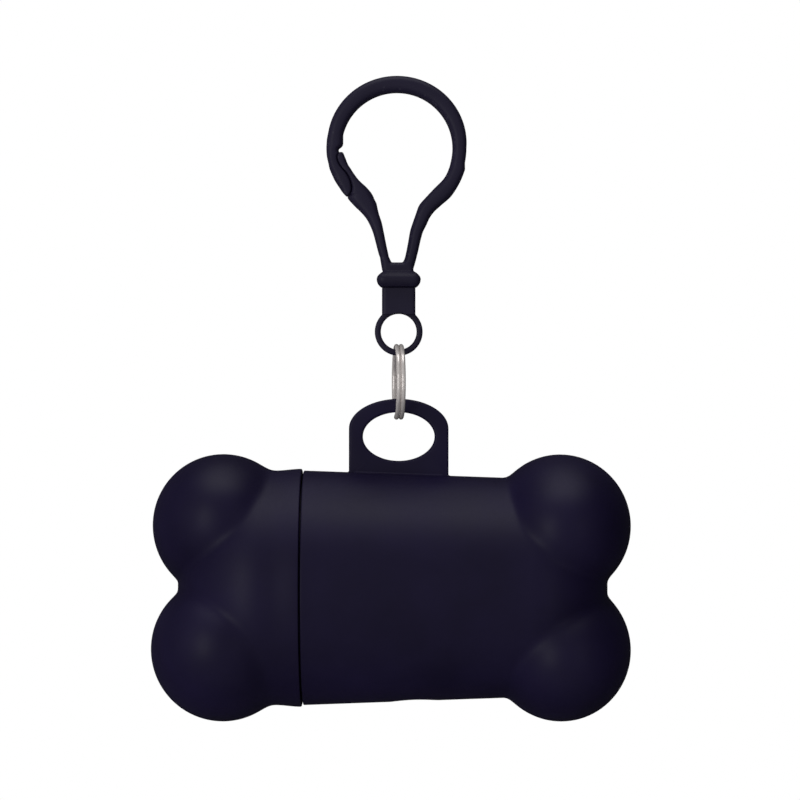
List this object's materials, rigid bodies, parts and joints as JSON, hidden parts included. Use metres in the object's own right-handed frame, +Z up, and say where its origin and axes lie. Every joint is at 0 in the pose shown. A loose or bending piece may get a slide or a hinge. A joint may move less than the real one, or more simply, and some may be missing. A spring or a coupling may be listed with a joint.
{
  "type": "dog waste bag dispenser",
  "caption": "Bone-shaped plastic dispenser for a roll of dog waste bags, with a push-fit end cap, hung by a split ring from a swivelling spring-gate hook.",
  "frame": {"origin": "inside top of the hook's bulb, where a leash loop bears, midway front to back", "axes": "+Z up along the hanging line, +X towards the closed end of the bone, -Y towards the front"},
  "size_m": [0.0846, 0.042, 0.1141],
  "materials": {
    "case_plastic": "injection-moulded black plastic with a satin face",
    "black_plastic": "injection-moulded black plastic with rounded edges",
    "nickel_steel": "bright nickel-plated wire",
    "cardboard": "plain wound board",
    "bag_film": "thin soft film wound tight"
  },
  "bodies": {
    "hook": {"hook_frame": "black_plastic"},
    "gate": {"gate_arm": "black_plastic"},
    "swivel": {"swivel_eye": "black_plastic"},
    "ring": {"split_ring": "nickel_steel"},
    "case": {"case_shell": "case_plastic"},
    "cap": {"end_cap": "case_plastic"},
    "roll": {"roll_core": "cardboard", "bag_roll": "bag_film"}
  },
  "joints": [
    {"name": "gate_press", "type": "hinge", "parent": "hook", "child": "gate", "pos_m": [-0.0024, 0, -0.0287], "axis": [0, 1, 0], "range_deg": [0, 28], "stiffness_Nm_per_rad": 0.22, "springref_deg": -5.73},
    {"name": "swivel_turn", "type": "hinge", "parent": "hook", "child": "swivel", "pos_m": [0.0003, 0, -0.038], "axis": [0, 0, 1], "continuous": true},
    {"name": "ring_swing", "type": "hinge", "parent": "swivel", "child": "ring", "pos_m": [0.0003, 0, -0.046], "axis": [0.9976, 0.0698, 0], "range_deg": [-90, 90]},
    {"name": "case_tilt", "type": "hinge", "parent": "ring", "child": "case", "pos_m": [0.0003, 0, -0.05745], "axis": [0, 1, 0], "range_deg": [-40, 40]},
    {"name": "cap_pull", "type": "slide", "parent": "case", "child": "cap", "axis": [-1, 0, 0], "range_m": [0, 0.075]},
    {"name": "roll_spin", "type": "hinge", "parent": "case", "child": "roll", "pos_m": [-0.001, 0, -0.08883], "axis": [1, 0, 0], "continuous": true}
  ]
}
